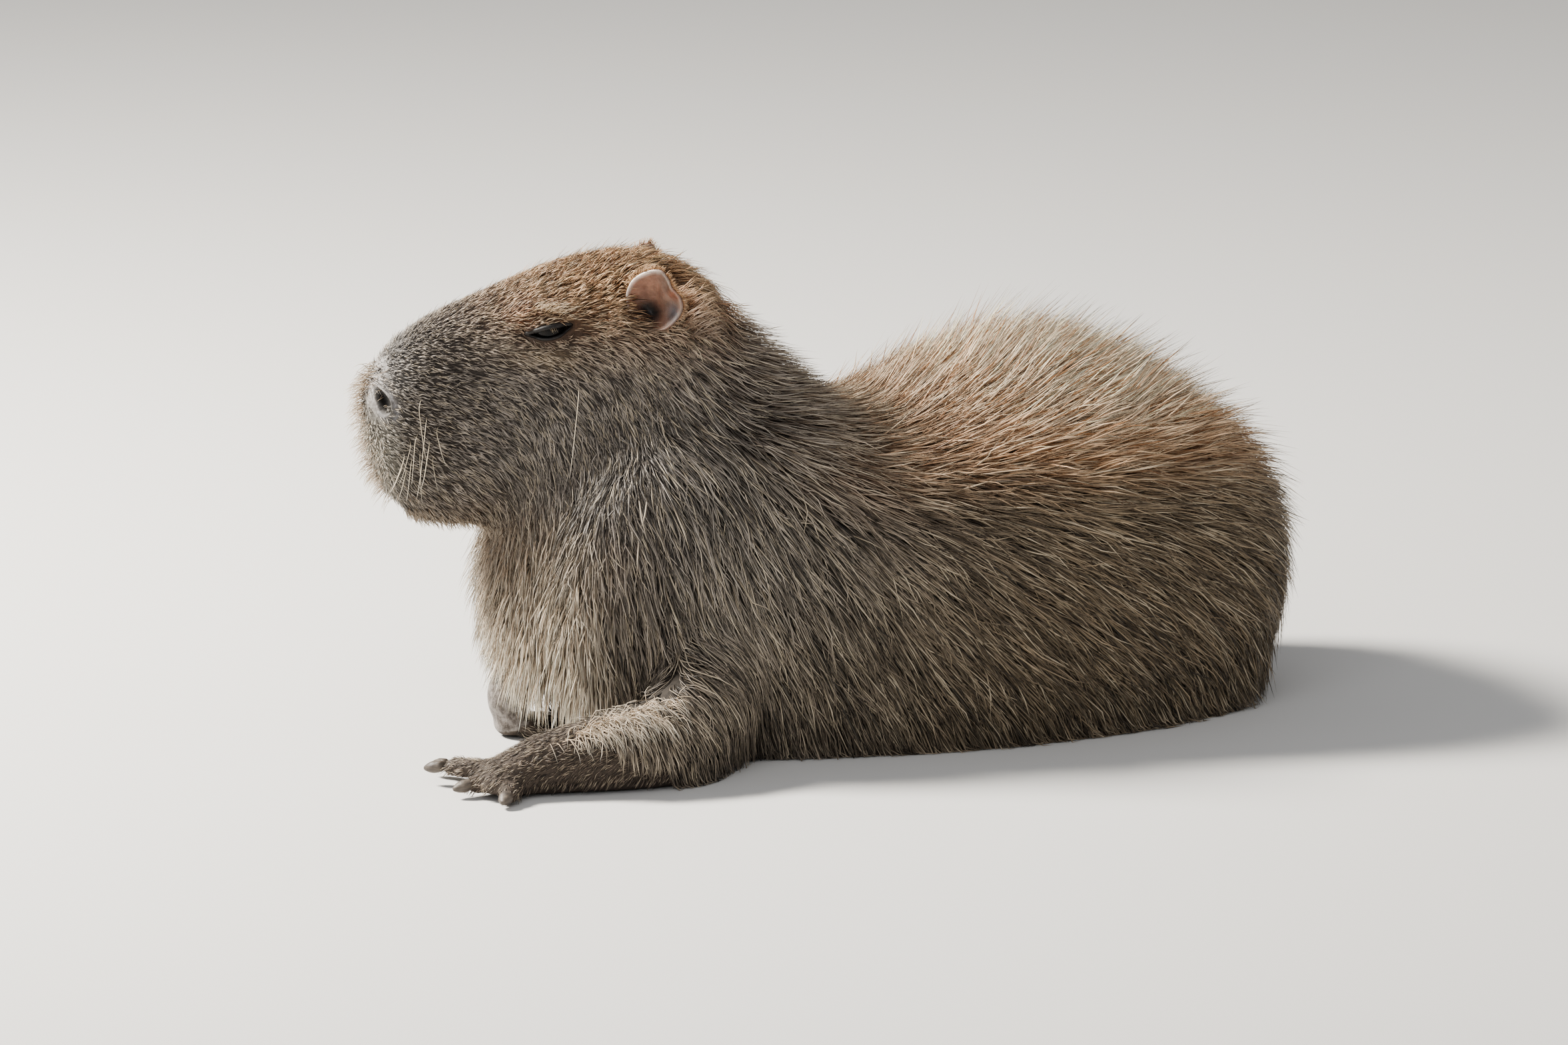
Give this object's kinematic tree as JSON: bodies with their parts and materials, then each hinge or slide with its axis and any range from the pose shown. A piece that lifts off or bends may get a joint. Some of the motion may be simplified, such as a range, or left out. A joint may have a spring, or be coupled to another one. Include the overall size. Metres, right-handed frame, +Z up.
{
  "type": "capybara",
  "caption": "Life-size adult capybara lying on its belly with its head raised, eyes half closed and a coarse coat.",
  "frame": {"origin": "middle of the bounding box, on the floor that the animal lies on", "axes": "+Z up, the trunk along X with the head towards -X, the animal's left side towards -Y"},
  "size_m": [0.8798, 0.4546, 0.438],
  "materials": {
    "hair": "coarse olive-brown hair with pale tips, orange-tan on the rump and forehead",
    "ear_skin": "bare brown-pink skin",
    "eye": "wet dark brown",
    "foot_skin": "short dark hair and bare skin, dulled by dried mud",
    "claw": "dark horn"
  },
  "bodies": {
    "root": {"head": "hair", "neck": "hair", "torso": "hair", "hindleg_left": "hair", "foreleg_left": "hair", "ear_left": "ear_skin", "eye_left": "eye", "forefoot_left": "foot_skin", "hindfoot_left": "foot_skin", "claw_forefoot_left_1": "claw", "claw_forefoot_left_2": "claw", "claw_forefoot_left_3": "claw", "claw_forefoot_left_4": "claw", "claw_hindfoot_left_1": "claw", "claw_hindfoot_left_2": "claw", "claw_hindfoot_left_3": "claw", "hindleg_right": "hair", "foreleg_right": "hair", "ear_right": "ear_skin", "eye_right": "eye", "forefoot_right": "foot_skin", "hindfoot_right": "foot_skin", "claw_forefoot_right_1": "claw", "claw_forefoot_right_2": "claw", "claw_forefoot_right_3": "claw", "claw_forefoot_right_4": "claw", "claw_hindfoot_right_1": "claw", "claw_hindfoot_right_2": "claw", "claw_hindfoot_right_3": "claw"}
  },
  "joints": []
}
